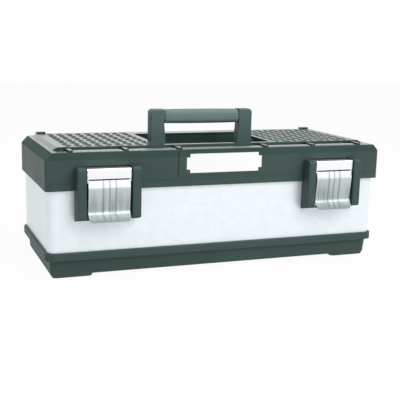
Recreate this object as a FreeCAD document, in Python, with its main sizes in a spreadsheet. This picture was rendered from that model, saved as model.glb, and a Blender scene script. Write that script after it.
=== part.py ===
import FreeCAD, Part
import math
import os

import Sketcher
from FreeCAD import Vector

# Steel tool box: moulded base, galvanised wall, moulded rim, hinged lid with a folding
# bail handle, two draw latches and a lift-out tray.  Millimetres; X is the length,
# -Y the latch side, Z up, and the floor is Z = 0.

doc = FreeCAD.newDocument("tool_box")
sizes = doc.addObject("Spreadsheet::Sheet", "sizes")

DRIVING_SIZES = (
    ("case_length", 662, "outside length of lid and base lip"),
    ("case_depth", 256, "outside depth of lid and base lip"),
    ("loose_gap", 0.5, "gap between neighbouring mouldings"),
    ("close_gap", 0.1, "gap round parts that are pushed together"),
    ("running_gap", 0.05, "radial clearance of a turning pin"),
    ("overcut", 1, "run of a cut past the surface it opens"),
    ("foot_height", 6, "height of the corner feet"),
    ("foot_length", 78, "foot size along the box"),
    ("foot_width", 60, "foot size across the box"),
    ("foot_draft", 30, "foot draft in degrees"),
    ("base_height", 48, "floor to the top of the base lip"),
    ("lip_height", 14, "height of the base lip band"),
    ("lip_overhang", 8, "base lip standing out over the base wall"),
    ("lip_round", 2, "rounded top edge of the base lip"),
    ("base_wall", 3, "base wall and floor"),
    ("base_draft", 6, "base wall draft in degrees"),
    ("groove_depth", 10, "steel wall held in the base lip"),
    ("steel_gauge", 0.8, "sheet of the wall"),
    ("steel_inset", 5, "wall face behind the lid face"),
    ("steel_bend", 14, "outside radius of the wall corners"),
    ("seam_lap", 18, "lap of the sheet's ends at the back"),
    ("wall_height", 111, "steel in sight between base and lid"),
    ("rim_lift", 1, "rim lip above the lid's lower edge"),
    ("rim_height", 8, "height of the rim lip"),
    ("rim_lip", 2, "rim lip outside the steel"),
    ("rim_wall", 3, "rim skirt inside the steel and its top"),
    ("ledge_drop", 22, "tray ledge below the rim's top"),
    ("ledge_width", 9, "tray ledge standing inwards"),
    ("lid_height", 67, "lid's lower edge to its ledge"),
    ("lid_wall", 2.5, "lid wall"),
    ("lid_corner", 5, "upright corners of the lid"),
    ("end_bevel_run", 13, "bevel on the lid ends, along the box"),
    ("end_bevel_drop", 13.5, "bevel on the lid ends, downwards"),
    ("tread_rise", 5, "tread panel above the ledge"),
    ("tread_end_margin", 19, "ledge at the ends"),
    ("tread_end_slope", 9, "slope at the ends of the tread panel"),
    ("tread_front_margin", 35, "ledge along the front"),
    ("tread_rear_margin", 13, "ledge along the back"),
    ("web_end", 45, "first ledge web from the lid's end"),
    ("web_pitch", 100, "between ledge webs"),
    ("web_width", 7, "webs across the front ledge"),
    ("web_height", 3.5, "webs above the ledge"),
    ("lug_inset", 37, "rear lugs from the lid's ends"),
    ("lug_length", 18, "rear lugs"),
    ("lug_height", 8, "rear lugs above the ledge"),
    ("rib_depth", 6, "stiffening ribs under the tread"),
    ("rib_pitch", 60, "between ribs, from the tread's end"),
    ("plate_length", 149, "name plate"),
    ("plate_height", 35, "name plate"),
    ("plate_notch", 6.5, "square corner notches of the name plate"),
    ("plate_gauge", 1.2, "name plate"),
    ("plate_sunk", 1, "seat of the name plate in its frame"),
    ("plate_drop", 8, "name plate's top edge below the ledge"),
    ("frame_proud", 1.6, "raised frame round the name plate"),
    ("frame_side", 15, "frame beside the name plate"),
    ("frame_edge", 4.5, "frame above and below the name plate"),
    ("band_height", 12.5, "raised band along the lid's lower edge"),
    ("band_proud", 1, "raised band in front of the lid face"),
    ("band_gap", 5, "raised band to latch bracket"),
    ("band_end", 7.5, "raised band from the lid's ends"),
    ("latch_inset", 108.5, "latch middle from the lid's end"),
    ("strike_drop", 27, "hook's top below the lid's ledge"),
    ("slot_depth", 6, "strike slot in the lid's face"),
    ("slot_room", 3, "strike slot above the hook"),
    ("bracket_plate", 2.5, "back plate of the latch bracket"),
    ("lid_gap", 1, "latch bracket to the swinging lid"),
    ("cheek_width", 16, "latch bracket cheeks"),
    ("cheek_proud", 23, "cheeks in front of the lid face"),
    ("cheek_gap", 2, "cheeks beside the hook"),
    ("cheek_over", 2, "cheeks above the hook"),
    ("cheek_under", 2.5, "cheeks below the lever's tip"),
    ("cheek_toe", 6, "rise of the cheeks' lower end"),
    ("cheek_bend", 6, "cheek corners in side view"),
    ("cheek_round", 2.5, "front edges of the cheeks"),
    ("rivet_spread", 52, "between bracket rivets"),
    ("rivet_margin", 8, "rivets from the ends of their row"),
    ("rivet_shank", 2, "rivet shank radius"),
    ("rivet_head", 4, "rivet head radius"),
    ("rivet_rise", 1.2, "rivet head height"),
    ("lever_width", 75, "latch lever"),
    ("lever_length", 71.9, "latch lever, web top to tip"),
    ("lever_gauge", 1.2, "sheet of lever and hook"),
    ("pivot_out", 13, "lever pivot in front of the lid face"),
    ("lever_arm", 11.5, "hook pivot below the lever pivot"),
    ("hook_lead", 1.5, "hook pivot in front of the lever pivot"),
    ("hook_over", 11.1, "hook's top above the lever pivot"),
    ("lever_pin", 2, "lever pin radius"),
    ("hook_pin", 1.6, "hook pin radius"),
    ("ear_wall", 1.35, "metal round the pins"),
    ("web_over", 2, "lever web above the hook pivot"),
    ("knee_drop", 14, "lever's knee below the web's top"),
    ("knee_bow", 2.9, "lever's knee in front of the web's top"),
    ("knee_bend", 12, "lever's knee radius"),
    ("waist_rise", 15, "lever's waist above the tip"),
    ("waist_dip", 1.5, "lever's waist behind the web's top"),
    ("waist_bend", 12, "lever's waist radius"),
    ("tip_flare", 10.6, "lever's tip in front of the web's top"),
    ("tip_round", 8, "lever's lower corners"),
    ("flange_back", 7, "depth of the lever flanges at the knee"),
    ("bead_pitch", 11.5, "between the lever's grooves"),
    ("bead_width", 3.1, "grooves down the lever"),
    ("bead_depth", 0.6, "grooves down the lever"),
    ("hook_seam", 2.6, "gap between lever and hook plate"),
    ("hook_gap", 0.3, "hook's side flanges beside the lever"),
    ("hook_neck", 8, "height of the hook's side flanges above the pin"),
    ("hook_bend", 2, "bend of the hook's lip"),
    ("hinge_inset", 116, "hinge middle from the lid's end"),
    ("hinge_knuckle", 34, "length of the lid knuckles"),
    ("hinge_side", 20, "length of each rim knuckle"),
    ("hinge_radius", 5, "knuckle radius"),
    ("hinge_pin", 2.5, "hinge pin radius"),
    ("hinge_reach", 8.5, "hinge axis behind the lid face"),
    ("well_side", 7.5, "handle well beside the handle arms"),
    ("well_end", 13, "handle well beyond the folded grip"),
    ("well_under", 2, "handle well under the folded grip"),
    ("well_corner", 10, "upright corners of the handle well"),
    ("boss_reach", 12, "pin bosses outside the well"),
    ("boss_wall", 4, "pin bosses round the handle pins"),
    ("handle_width", 213, "outside of the handle arms"),
    ("hand_room", 29, "tread to the underside of the grip"),
    ("handle_thick", 22, "handle arms, front to back"),
    ("handle_round", 2.9, "edges of the handle arms"),
    ("arm_top", 28.5, "arm width at the grip"),
    ("arm_low", 32.5, "arm width at the pivot"),
    ("arm_foot", 9.2, "arm below its pivot"),
    ("arm_round", 8.8, "round of the arm's foot"),
    ("arm_shoulder", 7, "round of the arm's upper corner"),
    ("grip_height", 28, "soft grip"),
    ("grip_thick", 24, "soft grip, front to back"),
    ("grip_round", 9, "soft grip's corners"),
    ("core_height", 15, "bar inside the grip"),
    ("core_thick", 14.4, "bar inside the grip, front to back"),
    ("handle_pin", 4, "handle pin radius"),
    ("pin_hold", 29, "handle pins held in the arms"),
    ("tray_drop", 48, "tray below its flange"),
    ("tray_wall", 2.5, "tray wall"),
    ("middle_cell", 211, "between the tray's cross walls"),
    ("bridge_length", 186, "tray's carrying bridge"),
    ("bridge_height", 30, "tray's bridge above the flange"),
    ("bridge_thick", 6, "tray's bridge, front to back"),
    ("bridge_slot", 112, "hand slot in the bridge"),
    ("bridge_rail", 8.5, "bridge above the hand slot"),
    ("bridge_round", 5, "hand slot's corners"),
)
for row, (alias, value, meaning) in enumerate(DRIVING_SIZES, start=1):
    sizes.set("A%d" % row, meaning)
    sizes.set("B%d" % row, str(value))
    sizes.setAlias("B%d" % row, alias)
doc.recompute()


def number(expression):
    """Value of an expression over the sheet."""
    return float(sizes.evalExpression(expression))


def add(*terms):
    """One expression that adds the given expressions."""
    return "(" + " + ".join("(%s)" % term for term in terms) + ")"


def minus(first, *others):
    """One expression that takes the others from the first."""
    return "(" + first + "".join(" - (%s)" % other for other in others) + ")"


HALF_LENGTH = "sizes.case_length / 2"
HALF_DEPTH = "sizes.case_depth / 2"
STEEL_X = minus(HALF_LENGTH, "sizes.steel_inset")
STEEL_Y = minus(HALF_DEPTH, "sizes.steel_inset")


def body(label):
    """A new body, named after the piece."""
    item = doc.addObject("PartDesign::Body", label)
    item.Label = label
    return item


def sketch(item, plane, offset="0"):
    """A sketch on one of the body's own planes, moved along that plane's normal."""
    made = item.newObject("Sketcher::SketchObject", "profile")
    base = [feature for feature in item.Origin.OriginFeatures if feature.Role == plane][0]
    made.AttachmentSupport = [(base, "")]
    made.MapMode = "FlatFace"
    made.setExpression("AttachmentOffset.Base.z", offset)
    return made


def bind(made, kind, geometry, point, label, expression):
    """Hold one sketch point at a signed distance from the origin."""
    index = made.addConstraint(
        Sketcher.Constraint(kind, -1, 1, geometry, point, number(expression)))
    made.renameConstraint(index, label)
    made.setExpression("Constraints." + label, expression)


def rectangle(made, left, right, low, high):
    """A rectangle whose four sides follow the expressions."""
    first = made.GeometryCount
    ends = (number(left), number(right))
    levels = (number(low), number(high))
    corners = [Vector(ends[0], levels[0]), Vector(ends[1], levels[0]),
               Vector(ends[1], levels[1]), Vector(ends[0], levels[1])]
    for place in range(4):
        made.addGeometry(Part.LineSegment(corners[place], corners[(place + 1) % 4]))
    for place in range(4):
        made.addConstraint(Sketcher.Constraint(
            "Coincident", first + place, 2, first + (place + 1) % 4, 1))
    for place in (0, 2):
        made.addConstraint(Sketcher.Constraint("Horizontal", first + place))
        made.addConstraint(Sketcher.Constraint("Vertical", first + place + 1))
    bind(made, "DistanceX", first, 1, "left_%d" % first, left)
    bind(made, "DistanceX", first + 1, 1, "right_%d" % first, right)
    bind(made, "DistanceY", first, 1, "low_%d" % first, low)
    bind(made, "DistanceY", first + 2, 1, "high_%d" % first, high)
    return made


def rounded(made, left, right, low, high, radius):
    """A rectangle with four equal round corners."""
    first = made.GeometryCount
    x0, x1, y0, y1, r = [number(term) for term in (left, right, low, high, radius)]
    made.addGeometry(Part.LineSegment(Vector(x0 + r, y0), Vector(x1 - r, y0)))
    made.addGeometry(Part.LineSegment(Vector(x1, y0 + r), Vector(x1, y1 - r)))
    made.addGeometry(Part.LineSegment(Vector(x1 - r, y1), Vector(x0 + r, y1)))
    made.addGeometry(Part.LineSegment(Vector(x0, y1 - r), Vector(x0, y0 + r)))
    centres = ((x1 - r, y0 + r), (x1 - r, y1 - r), (x0 + r, y1 - r), (x0 + r, y0 + r))
    for turn, centre in enumerate(centres):
        circle = Part.Circle(Vector(*centre), Vector(0, 0, 1), r)
        start = (turn - 1) * math.pi / 2
        made.addGeometry(Part.ArcOfCircle(circle, start, start + math.pi / 2))
    for turn in range(4):
        arc = first + 4 + turn
        made.addConstraint(Sketcher.Constraint("Tangent", first + turn, 2, arc, 1))
        made.addConstraint(Sketcher.Constraint("Tangent", arc, 2, first + (turn + 1) % 4, 1))
    for place in (0, 2):
        made.addConstraint(Sketcher.Constraint("Horizontal", first + place))
        made.addConstraint(Sketcher.Constraint("Vertical", first + place + 1))
    for turn in range(1, 4):
        made.addConstraint(Sketcher.Constraint("Equal", first + 4, first + 4 + turn))
    index = made.addConstraint(Sketcher.Constraint("Radius", first + 4, r))
    made.renameConstraint(index, "round_%d" % first)
    made.setExpression("Constraints.round_%d" % first, radius)
    bind(made, "DistanceY", first, 1, "low_%d" % first, low)
    bind(made, "DistanceX", first + 1, 1, "right_%d" % first, right)
    bind(made, "DistanceY", first + 2, 1, "high_%d" % first, high)
    bind(made, "DistanceX", first + 3, 1, "left_%d" % first, left)
    return made


def centred(made, half_x, half_y, radius):
    """A round-cornered rectangle about the origin."""
    return rounded(made, "-" + half_x, half_x, "-" + half_y, half_y, radius)


def circle(made, across, up, radius):
    """A circle whose middle and radius follow the expressions."""
    index = made.GeometryCount
    made.addGeometry(Part.Circle(Vector(number(across), number(up)), Vector(0, 0, 1),
                                 number(radius)))
    place = made.addConstraint(Sketcher.Constraint("Radius", index, number(radius)))
    made.renameConstraint(place, "radius_%d" % index)
    made.setExpression("Constraints.radius_%d" % index, radius)
    bind(made, "DistanceX", index, 3, "across_%d" % index, across)
    bind(made, "DistanceY", index, 3, "up_%d" % index, up)
    return made


def outline(made, corners):
    """A closed outline through (across, up, bend radius) corners, bends drawn as arcs."""
    count = len(corners)
    starts = []
    stops = []
    bends = []
    for place, (across, up, radius) in enumerate(corners):
        here = Vector(across, up)
        before = (Vector(*corners[place - 1][:2]) - here).normalize()
        after = (Vector(*corners[(place + 1) % count][:2]) - here).normalize()
        opening = before.getAngle(after)
        run = radius / math.tan(opening / 2)
        starts.append(here + before * run)
        stops.append(here + after * run)
        if radius > 0:
            inward = (before + after).normalize()
            bends.append(here + inward * (radius / math.sin(opening / 2) - radius))
        else:
            bends.append(None)
    for place in range(count):
        if bends[place]:
            arc = Part.Arc(starts[place], bends[place], stops[place])
            made.addGeometry(arc)
        following = starts[(place + 1) % count]
        if (following - stops[place]).Length > 1e-6:
            made.addGeometry(Part.LineSegment(stops[place], following))
    return made


def strip(path, inner, outer):
    """Corners of a bent strip between two distances to the left of an (across, up, bend) path."""
    sides = ([], [])
    for place, (across, up, bend) in enumerate(path):
        here = Vector(across, up)
        ways = []
        if place > 0:
            ways.append((here - Vector(*path[place - 1][:2])).normalize())
        if place < len(path) - 1:
            ways.append((Vector(*path[place + 1][:2]) - here).normalize())
        normals = [Vector(-way.y, way.x) for way in ways]
        mean = (normals[0] + normals[-1]).normalize()
        stretch = mean.dot(normals[0])
        turn = 0
        if len(ways) == 2:
            turn = math.copysign(1, ways[0].x * ways[1].y - ways[0].y * ways[1].x)
        for side, offset in zip(sides, (inner, outer)):
            corner = here + mean * (offset / stretch)
            radius = max(bend - turn * offset, 0) if bend else 0
            side.append((corner.x, corner.y, radius))
    return sides[0] + sides[1][::-1]


def pad(item, made, length, reverse=False, both=False, taper="0"):
    """Add the sketch's area over the length."""
    feature = item.newObject("PartDesign::Pad", "pad")
    feature.Profile = made
    feature.setExpression("Length", length)
    feature.setExpression("TaperAngle", taper)
    feature.Reversed = reverse
    feature.SideType = "Symmetric" if both else "One side"
    doc.recompute()
    return feature


def pocket(item, made, length, reverse=False, both=False):
    """Take the sketch's area away over the length."""
    feature = item.newObject("PartDesign::Pocket", "pocket")
    feature.Profile = made
    feature.setExpression("Length", length)
    feature.Reversed = reverse
    feature.SideType = "Symmetric" if both else "One side"
    doc.recompute()
    return feature


def fillet(item, radius, wanted):
    """Round the edges whose middle point and direction the test accepts."""
    names = []
    solid = item.Tip
    for place, edge in enumerate(solid.Shape.Edges, start=1):
        middle = edge.valueAt((edge.FirstParameter + edge.LastParameter) / 2)
        way = edge.tangentAt((edge.FirstParameter + edge.LastParameter) / 2)
        if wanted(middle, way, edge.Length):
            names.append("Edge%d" % place)
    feature = item.newObject("PartDesign::Fillet", "round")
    feature.Base = (solid, names)
    feature.setExpression("Radius", radius)
    doc.recompute()
    return feature


def near(first, second, span=0.05):
    """True where two numbers agree within the span."""
    return abs(first - second) < span


def wall_groove(item, level, depth, outer, inner, downward):
    """Cut a groove for the steel between two outlines round the box, grown from its outside."""
    made = sketch(item, "XY_Plane", level)
    for grow in (outer, inner):
        centred(made, add(STEEL_X, grow), add(STEEL_Y, grow), add("sizes.steel_bend", grow))
    return pocket(item, made, depth, reverse=not downward)


def bore(item, across, up, radius, length, middle="0"):
    """Drill along the box through everything on the line, evenly about the middle."""
    drill = circle(sketch(item, "YZ_Plane", middle), across, up, radius)
    return pocket(item, drill, length, both=True)


# Base: a shallow moulded tray.  A wide lip round its top holds the steel in a groove,
# the drafted wall stands back under it, and four corner feet carry the box.
base = body("base_tray")
WALL_X = minus(HALF_LENGTH, "sizes.lip_overhang")
WALL_Y = minus(HALF_DEPTH, "sizes.lip_overhang")
LIP_LOW = minus("sizes.base_height", "sizes.lip_height")
DRAFT_DEPTH = minus(LIP_LOW, "sizes.foot_height")
DRAFT_RUN = DRAFT_DEPTH + " * tan(sizes.base_draft)"
INNER_BEND = minus("sizes.steel_bend", "sizes.base_wall")
base_side = centred(sketch(base, "XY_Plane", LIP_LOW), WALL_X, WALL_Y, "sizes.steel_bend")
pad(base, base_side, DRAFT_DEPTH, reverse=True, taper="-sizes.base_draft")
base_lip = centred(sketch(base, "XY_Plane", LIP_LOW), HALF_LENGTH, HALF_DEPTH,
                   add("sizes.steel_bend", "sizes.steel_inset"))
pad(base, base_lip, "sizes.lip_height")
lip_top = number("sizes.base_height")
fillet(base, "sizes.lip_round",
       lambda middle, way, length: near(way.z, 0) and near(middle.z, lip_top))
FOOT_X = minus(WALL_X, DRAFT_RUN, "sizes.close_gap")
FOOT_Y = minus(WALL_Y, DRAFT_RUN, "sizes.close_gap")
feet = sketch(base, "XY_Plane", "sizes.foot_height")
for x_side in ("", "-"):
    for y_side in ("", "-"):
        x_ends = [x_side + minus(FOOT_X, "sizes.foot_length"), x_side + FOOT_X]
        y_ends = [y_side + minus(FOOT_Y, "sizes.foot_width"), y_side + FOOT_Y]
        x_ends.sort(key=number)
        y_ends.sort(key=number)
        rounded(feet, x_ends[0], x_ends[1], y_ends[0], y_ends[1], INNER_BEND)
pad(base, feet, "sizes.foot_height", reverse=True, taper="-sizes.foot_draft")
base_hollow = centred(sketch(base, "XY_Plane", "sizes.base_height"),
                      minus(WALL_X, "sizes.base_wall", DRAFT_RUN),
                      minus(WALL_Y, "sizes.base_wall", DRAFT_RUN), INNER_BEND)
pocket(base, base_hollow, minus("sizes.base_height", "sizes.foot_height", "sizes.base_wall"))
INSIDE_STEEL = minus("-sizes.steel_gauge", "sizes.close_gap")
wall_groove(base, "sizes.base_height", "sizes.groove_depth", "sizes.close_gap", INSIDE_STEEL, True)

# Wall: one galvanised sheet bent round four corners, its ends lapped at the back and
# closed with a row of rivets.
LID_LOW = add("sizes.base_height", "sizes.wall_height")
RIM_LOW = add(LID_LOW, "sizes.rim_lift")
RIM_TOP = add(RIM_LOW, "sizes.rim_height")
LEDGE_TOP = minus(RIM_TOP, "sizes.ledge_drop")
RIVET_TOP = minus(LEDGE_TOP, "sizes.rim_wall", "sizes.rivet_margin")
RIVET_HOLE = add("sizes.rivet_shank", "sizes.close_gap")
STEEL_LOW = add(minus("sizes.base_height", "sizes.groove_depth"), "sizes.close_gap")
STEEL_TOP = minus(RIM_TOP, "sizes.rim_wall", "sizes.close_gap")
wall = body("steel_wall")
sheet = sketch(wall, "XY_Plane", STEEL_LOW)
centred(sheet, STEEL_X, STEEL_Y, "sizes.steel_bend")
centred(sheet, minus(STEEL_X, "sizes.steel_gauge"), minus(STEEL_Y, "sizes.steel_gauge"),
        minus("sizes.steel_bend", "sizes.steel_gauge"))
pad(wall, sheet, minus(STEEL_TOP, STEEL_LOW))
SEAM_LOW = add("sizes.base_height", "sizes.loose_gap")
seam = rectangle(sketch(wall, "XZ_Plane", "-" + STEEL_Y), "-sizes.seam_lap / 2", "sizes.seam_lap / 2",
                 SEAM_LOW, minus(LID_LOW, "sizes.loose_gap"))
pad(wall, seam, "sizes.steel_gauge", reverse=True)
SEAM_RIVETS = 4
SEAM_FIRST = add(SEAM_LOW, "sizes.rivet_margin")
SEAM_STEP = "(%s - %s) / %d" % (RIVET_TOP, SEAM_FIRST, SEAM_RIVETS - 1)
seam_levels = [add(SEAM_FIRST, "%s * %d" % (SEAM_STEP, place)) for place in range(SEAM_RIVETS)]
seam_holes = sketch(wall, "XZ_Plane", "-" + minus(STEEL_Y, "sizes.steel_gauge", "sizes.overcut"))
for level in seam_levels:
    circle(seam_holes, "0", level, RIVET_HOLE)
pocket(wall, seam_holes, "sizes.steel_gauge * 2 + sizes.overcut * 2")

# Rim: a moulded ring pushed over the steel's top edge.  It carries the tray on an inner
# ledge and the lid on four knuckles at the back.
RIM_OPEN = minus(INSIDE_STEEL, "sizes.rim_wall")
HINGE_Y = add(HALF_DEPTH, "sizes.hinge_reach")
KNUCKLE_TOP = add(LID_LOW, "sizes.hinge_radius")
HINGE_BORE = add("sizes.hinge_pin", "sizes.running_gap")
rim = body("rim_frame")
rim_lip = centred(sketch(rim, "XY_Plane", RIM_LOW), add(STEEL_X, "sizes.rim_lip"),
                  add(STEEL_Y, "sizes.rim_lip"), add("sizes.steel_bend", "sizes.rim_lip"))
pad(rim, rim_lip, "sizes.rim_height")
rim_skirt = centred(sketch(rim, "XY_Plane", RIM_LOW), add(STEEL_X, INSIDE_STEEL),
                    add(STEEL_Y, INSIDE_STEEL), add("sizes.steel_bend", INSIDE_STEEL))
pad(rim, rim_skirt, add(minus(RIM_LOW, LEDGE_TOP), "sizes.rim_wall"), reverse=True)
rim_mouth = centred(sketch(rim, "XY_Plane", RIM_TOP), add(STEEL_X, RIM_OPEN),
                    add(STEEL_Y, RIM_OPEN), add("sizes.steel_bend", RIM_OPEN))
pocket(rim, rim_mouth, "sizes.ledge_drop")
THROAT_X = minus(add(STEEL_X, RIM_OPEN), "sizes.ledge_width")
THROAT_Y = minus(add(STEEL_Y, RIM_OPEN), "sizes.ledge_width")
rim_throat = rectangle(sketch(rim, "XY_Plane", LEDGE_TOP), "-" + THROAT_X, THROAT_X, "-" + THROAT_Y, THROAT_Y)
pocket(rim, rim_throat, "sizes.rim_wall")
wall_groove(rim, RIM_LOW, minus("sizes.rim_height", "sizes.rim_wall"), "sizes.close_gap",
            INSIDE_STEEL, False)
HINGE_X = minus(HALF_LENGTH, "sizes.hinge_inset")
HINGES = ("-" + HINGE_X, HINGE_X)
SIDE_STEP = add("sizes.hinge_knuckle / 2", "sizes.loose_gap")
RIM_KNUCKLES = []
for hinge in HINGES:
    RIM_KNUCKLES.append(minus(hinge, SIDE_STEP, "sizes.hinge_side"))
    RIM_KNUCKLES.append(add(hinge, SIDE_STEP))
for start in RIM_KNUCKLES:
    barrel = circle(sketch(rim, "YZ_Plane", start), HINGE_Y, LID_LOW, "sizes.hinge_radius")
    pad(rim, barrel, "sizes.hinge_side")
    arm = rectangle(sketch(rim, "YZ_Plane", start), add(STEEL_Y, "sizes.rim_lip / 2"), HINGE_Y,
                    RIM_LOW, KNUCKLE_TOP)
    pad(rim, arm, "sizes.hinge_side")
bore(rim, HINGE_Y, LID_LOW, HINGE_BORE, "sizes.case_length")

# Lid: a moulded shell with bevelled ends, a raised tread panel on ribs, a sunk well for the
# handle, strike slots for the latches, a framed seat for the name plate and two knuckles.
LID_TOP = add(LID_LOW, "sizes.lid_height")
TREAD_TOP = add(LID_TOP, "sizes.tread_rise")
lid = body("lid_shell")


def shell_profile(inset):
    """Front view of the lid, set in by an even distance from the walls, bevels and top."""
    low = number(LID_LOW)
    top = number(LID_TOP) - inset
    run = number("sizes.end_bevel_run")
    drop = number("sizes.end_bevel_drop")
    side = number(HALF_LENGTH) - inset
    bevel_shift = inset * math.hypot(run, drop) / run
    shoulder = number(LID_TOP) - drop + inset * drop / run - bevel_shift
    ridge = side - run * (top - shoulder) / drop
    right = [(side, low, 0), (side, shoulder, 0), (ridge, top, 0)]
    return right + [(-across, up, 0) for across, up, bend in right[::-1]]


pad(lid, outline(sketch(lid, "XZ_Plane"), shell_profile(0)), "sizes.case_depth", both=True)
fillet(lid, "sizes.lid_corner", lambda middle, way, length: near(abs(way.z), 1))
pocket(lid, outline(sketch(lid, "XZ_Plane"), shell_profile(number("sizes.lid_wall"))),
       "sizes.case_depth - sizes.lid_wall * 2", both=True)
TREAD_FOOT = minus(HALF_LENGTH, "sizes.tread_end_margin")
TREAD_X = minus(TREAD_FOOT, "sizes.tread_end_slope")
TREAD_FRONT = "-" + minus(HALF_DEPTH, "sizes.tread_front_margin")
TREAD_REAR = minus(HALF_DEPTH, "sizes.tread_rear_margin")
tread_right = [(number(TREAD_FOOT), number(LID_TOP), 0), (number(TREAD_X), number(TREAD_TOP), 0)]
tread_profile = tread_right + [(-across, up, 0) for across, up, bend in tread_right[::-1]]
pad(lid, outline(sketch(lid, "XZ_Plane", "-" + TREAD_REAR), tread_profile),
    minus(TREAD_REAR, TREAD_FRONT))
UNDER_TOP = minus(TREAD_TOP, "sizes.lid_wall")
UNDER_X = minus(TREAD_X, "sizes.lid_wall")
UNDER_FRONT = add(TREAD_FRONT, "sizes.lid_wall")
UNDER_REAR = minus(TREAD_REAR, "sizes.lid_wall")
tread_hollow = rectangle(sketch(lid, "XY_Plane", UNDER_TOP), "-" + UNDER_X, UNDER_X, UNDER_FRONT,
                         UNDER_REAR)
pocket(lid, tread_hollow, "sizes.tread_rise")
RIBS = 2
ribs = sketch(lid, "XY_Plane", minus(UNDER_TOP, "sizes.rib_depth"))
for place in range(1, RIBS + 1):
    rib_x = minus(TREAD_X, "sizes.rib_pitch * %d" % place)
    for side in ("-" + rib_x, rib_x):
        rectangle(ribs, minus(side, "sizes.lid_wall / 2"), add(side, "sizes.lid_wall / 2"),
                  UNDER_FRONT, UNDER_REAR)
pad(lid, ribs, add("sizes.rib_depth", "sizes.lid_wall / 2"))
WELL_X = add("sizes.handle_width / 2", "sizes.well_side")
WELL_Y = add(add("sizes.grip_thick / 2", "sizes.hand_room"), add("sizes.grip_height", "sizes.well_end"))
WELL_DROP = add("sizes.grip_thick", "sizes.well_under")
WELL_FLOOR = minus(TREAD_TOP, WELL_DROP)
well_outside = centred(sketch(lid, "XY_Plane", minus(WELL_FLOOR, "sizes.lid_wall")),
                       add(WELL_X, "sizes.lid_wall"), add(WELL_Y, "sizes.lid_wall"),
                       add("sizes.well_corner", "sizes.lid_wall"))
pad(lid, well_outside, add(WELL_DROP, "sizes.lid_wall / 2"))
well = centred(sketch(lid, "XY_Plane", TREAD_TOP), WELL_X, WELL_Y, "sizes.well_corner")
pocket(lid, well, WELL_DROP)
HANDLE_Z = minus(TREAD_TOP, "sizes.grip_thick / 2")
HANDLE_X = "sizes.handle_width / 2"
HANDLE_BORE = add("sizes.handle_pin", "sizes.running_gap")
BOSS_IN = add(HANDLE_X, "sizes.loose_gap")
BOSS_OUT = add(WELL_X, "sizes.boss_reach")
PIN_END = minus(BOSS_OUT, "sizes.lid_wall")
for start in ("-" + BOSS_OUT, BOSS_IN):
    boss = circle(sketch(lid, "YZ_Plane", start), "0", HANDLE_Z,
                  add("sizes.handle_pin", "sizes.boss_wall"))
    pad(lid, boss, minus(BOSS_OUT, BOSS_IN))
bore(lid, "0", HANDLE_Z, HANDLE_BORE, PIN_END + " * 2")

LATCH_X = minus(HALF_LENGTH, "sizes.latch_inset")
LATCHES = ("-" + LATCH_X, LATCH_X)
HOOK_HALF = add("sizes.lever_width / 2", "sizes.hook_gap", "sizes.lever_gauge")
HOOK_TOP = minus(LID_TOP, "sizes.strike_drop")
CHEEK_IN = add(HOOK_HALF, "sizes.cheek_gap")
CHEEK_OUT = add(CHEEK_IN, "sizes.cheek_width")
SLOT_LOW = minus(HOOK_TOP, "sizes.lever_gauge", "sizes.loose_gap / 2")
SLOT_TOP = add(HOOK_TOP, "sizes.slot_room")
SLOT_BACK = minus(HALF_DEPTH, "sizes.slot_depth")
for latch in LATCHES:
    housing = rectangle(sketch(lid, "XZ_Plane", minus(SLOT_BACK, "sizes.lid_wall")),
                        minus(latch, CHEEK_IN, "sizes.lid_wall"),
                        add(latch, CHEEK_IN, "sizes.lid_wall"), minus(SLOT_LOW, "sizes.lid_wall"),
                        add(SLOT_TOP, "sizes.lid_wall"))
    pad(lid, housing, add("sizes.slot_depth", "sizes.lid_wall / 2"))
    strike = rectangle(sketch(lid, "XZ_Plane", add(HALF_DEPTH, "sizes.overcut")),
                       minus(latch, CHEEK_IN), add(latch, CHEEK_IN), SLOT_LOW, SLOT_TOP)
    pocket(lid, strike, add("sizes.slot_depth", "sizes.overcut"))

PLATE_MIDDLE = minus(LID_TOP, "sizes.plate_drop", "sizes.plate_height / 2")


def plate_corners(grow):
    """The name plate's outline with square notches at its corners, grown evenly."""
    across = number("sizes.plate_length / 2") + grow
    up = number("sizes.plate_height / 2") + grow
    notch = number("sizes.plate_notch")
    middle = number(PLATE_MIDDLE)
    quarter = [(across, up - notch), (across - notch, up - notch), (across - notch, up)]
    upper = quarter + [(-x, y) for x, y in quarter[::-1]]
    return [(x, middle + y, 0) for x, y in upper + [(-x, -y) for x, y in upper]]


FRAME_X = add("sizes.plate_length / 2", "sizes.frame_side")
FRAME_Z = add("sizes.plate_height / 2", "sizes.frame_edge")
plate_frame = rectangle(sketch(lid, "XZ_Plane", HALF_DEPTH), "-" + FRAME_X, FRAME_X,
                        minus(PLATE_MIDDLE, FRAME_Z), add(PLATE_MIDDLE, FRAME_Z))
pad(lid, plate_frame, "sizes.frame_proud")
FRAME_FACE = add(HALF_DEPTH, "sizes.frame_proud")
pocket(lid, outline(sketch(lid, "XZ_Plane", FRAME_FACE), plate_corners(number("sizes.close_gap"))),
       "sizes.plate_sunk")
BAND_IN = minus(LATCH_X, CHEEK_OUT, "sizes.band_gap")
BAND_OUT = add(LATCH_X, CHEEK_OUT, "sizes.band_gap")
BAND_END = minus(HALF_LENGTH, "sizes.band_end")
bands = sketch(lid, "XZ_Plane", HALF_DEPTH)
for left, right in (("-" + BAND_END, "-" + BAND_OUT), ("-" + BAND_IN, BAND_IN),
                    (BAND_OUT, BAND_END)):
    rectangle(bands, left, right, LID_LOW, add(LID_LOW, "sizes.band_height"))
pad(lid, bands, "sizes.band_proud")
WEBS = 3
webs = sketch(lid, "XY_Plane", LID_TOP)
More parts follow.
